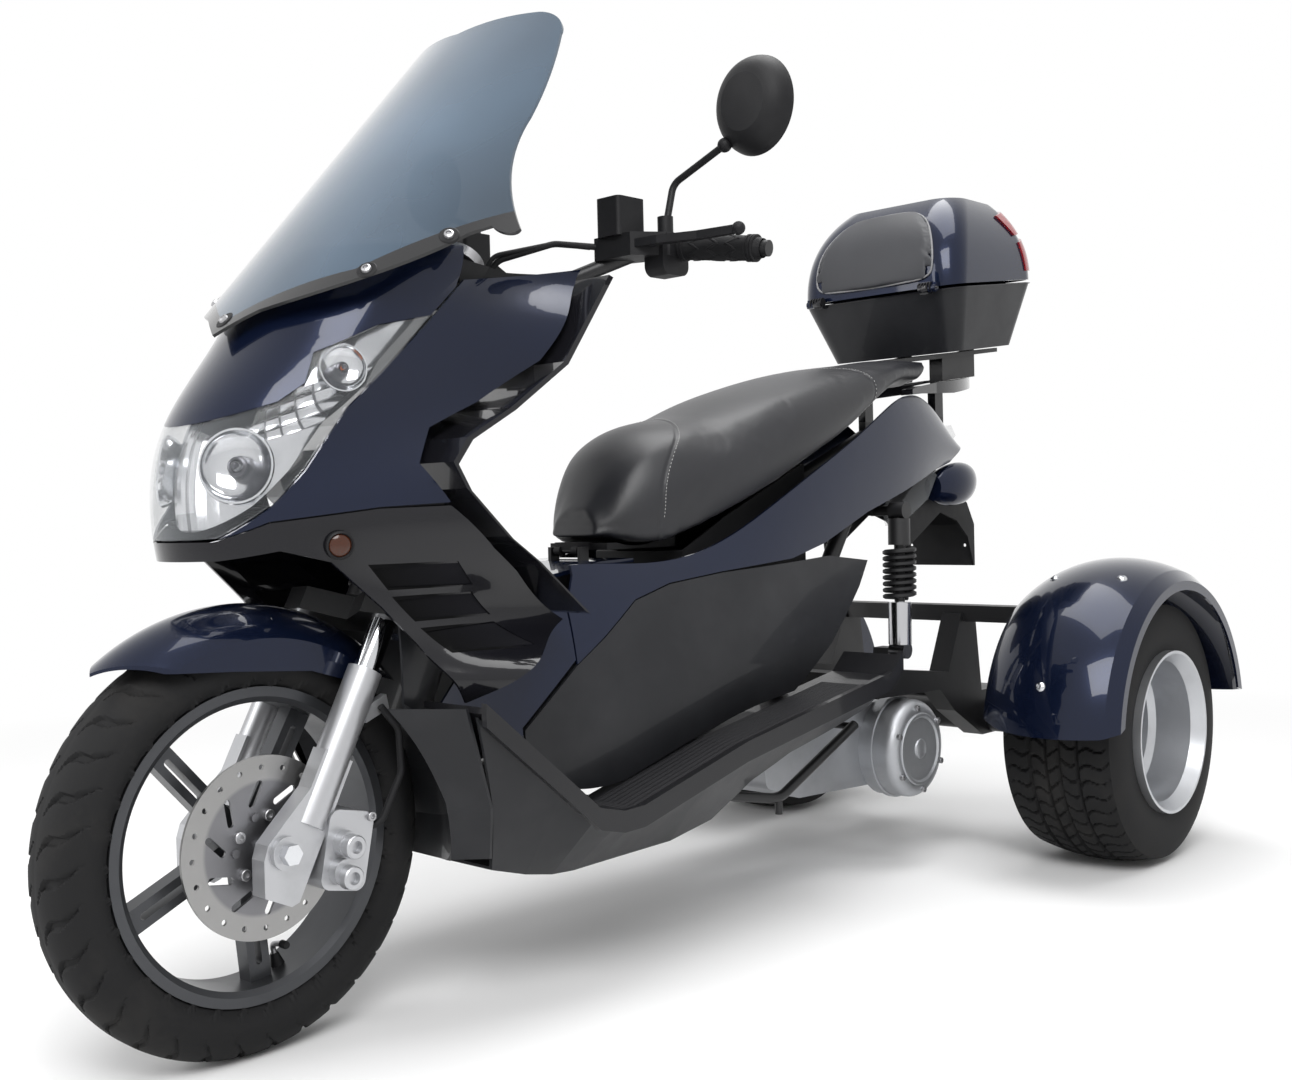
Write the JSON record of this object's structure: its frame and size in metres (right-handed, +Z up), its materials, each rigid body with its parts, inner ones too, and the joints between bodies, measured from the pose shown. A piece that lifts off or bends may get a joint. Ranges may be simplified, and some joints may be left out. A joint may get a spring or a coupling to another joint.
{
  "type": "motorized trike",
  "caption": "Maxi-scooter style motorized trike with windshield, full fairings, hinged stepped seat, fendered rear wheels and a lidded rear case.",
  "frame": {"origin": "floor level, on the centre plane, midway between the foremost point of the front tyre and the rearmost point of the rear fenders", "axes": "+X forward, +Y to the rider's left, +Z up"},
  "size_m": [2.1381, 1.032, 1.3255],
  "materials": {
    "tyre": "matte rubber",
    "wheel_dark": "dark grey painted",
    "disc_steel": "brushed",
    "wheel_alloy": "silver painted",
    "body_paint": "glossy, near-black blue",
    "fork_silver": "silver painted",
    "chrome": "polished",
    "black_metal": "satin black",
    "rubber": "matte",
    "black_plastic": "matte, lightly grained",
    "mirror": "mirror",
    "bright_steel": "satin",
    "clear_lens": "clear, polished",
    "lamp_chrome": "polished reflector",
    "screen": "smoked, polished",
    "engine_alloy": "cast, satin",
    "seat_vinyl": "smooth vinyl, stitched",
    "red_lens": "glossy, ribbed"
  },
  "bodies": {
    "front_wheel": {"front_tyre": "tyre", "front_rim": "wheel_dark", "front_disc": "disc_steel"},
    "rear_wheel_left": {"rear_tyre_left": "tyre", "rear_rim_left": "wheel_alloy"},
    "rear_wheel_right": {"rear_tyre_right": "tyre", "rear_rim_right": "wheel_alloy"},
    "frame": {"rear_fender_left": "body_paint", "rear_fender_right": "body_paint", "headlight_lens": "clear_lens", "headlight_housing": "lamp_chrome", "nose_mask": "body_paint", "front_cowl_left": "body_paint", "front_cowl_right": "body_paint", "front_panel": "black_plastic", "leg_shield": "black_plastic", "dash": "black_plastic", "windshield": "screen", "frame": "black_metal", "rear_carrier": "black_metal", "engine": "engine_alloy", "muffler": "bright_steel", "shock_bodies": "bright_steel", "shock_springs": "black_metal", "floorboard_left": "black_plastic", "floorboard_right": "black_plastic", "belly_pan": "black_plastic", "splash_guard": "black_plastic", "side_cowl_left": "body_paint", "side_cowl_right": "body_paint", "side_panel_left": "black_plastic", "side_panel_right": "black_plastic", "tunnel_cover": "body_paint", "storage_tub": "black_plastic", "seat_hinge": "black_metal", "grab_rail": "black_plastic", "rear_mudguard": "black_plastic", "tail_lamps": "clear_lens", "signal_pods": "body_paint", "case_rack": "bright_steel", "case_base": "black_plastic", "guard_rails": "black_metal"},
    "steering": {"fork_lowers": "fork_silver", "fork_tubes": "chrome", "steering_stem": "black_metal", "handlebar": "black_metal", "grips": "rubber", "controls": "black_plastic", "mirrors": "black_plastic", "mirror_glass": "mirror", "front_axle": "bright_steel", "front_fender": "body_paint", "front_caliper": "fork_silver", "brake_lines": "rubber"},
    "seat": {"seat_cushion": "seat_vinyl", "seat_base": "black_plastic"},
    "trunk_lid": {"case_lid": "body_paint", "case_pad": "seat_vinyl", "case_reflectors": "red_lens"}
  },
  "joints": [
    {"name": "steering", "type": "hinge", "parent": "frame", "child": "steering", "pos_m": [0.77103, 0, 0.23781], "axis": [-0.4695, 0, 0.8829], "range_deg": [-35, 35]},
    {"name": "front_wheel_spin", "type": "hinge", "parent": "steering", "child": "front_wheel", "pos_m": [0.809, 0, 0.258], "axis": [0, 1, 0], "continuous": true},
    {"name": "rear_wheel_left_spin", "type": "hinge", "parent": "frame", "child": "rear_wheel_left", "pos_m": [-0.768, 0.3825, 0.236], "axis": [0, 1, 0], "continuous": true},
    {"name": "rear_wheel_right_spin", "type": "hinge", "parent": "frame", "child": "rear_wheel_right", "pos_m": [-0.768, -0.3825, 0.236], "axis": [0, 1, 0], "continuous": true},
    {"name": "seat_hinge", "type": "hinge", "parent": "frame", "child": "seat", "pos_m": [0.228, 0, 0.59], "axis": [0, 1, 0], "range_deg": [0, 33]},
    {"name": "lid_hinge", "type": "hinge", "parent": "frame", "child": "trunk_lid", "pos_m": [-0.60359, 0, 1.04276], "axis": [0, 1, 0], "range_deg": [0, 80]}
  ]
}
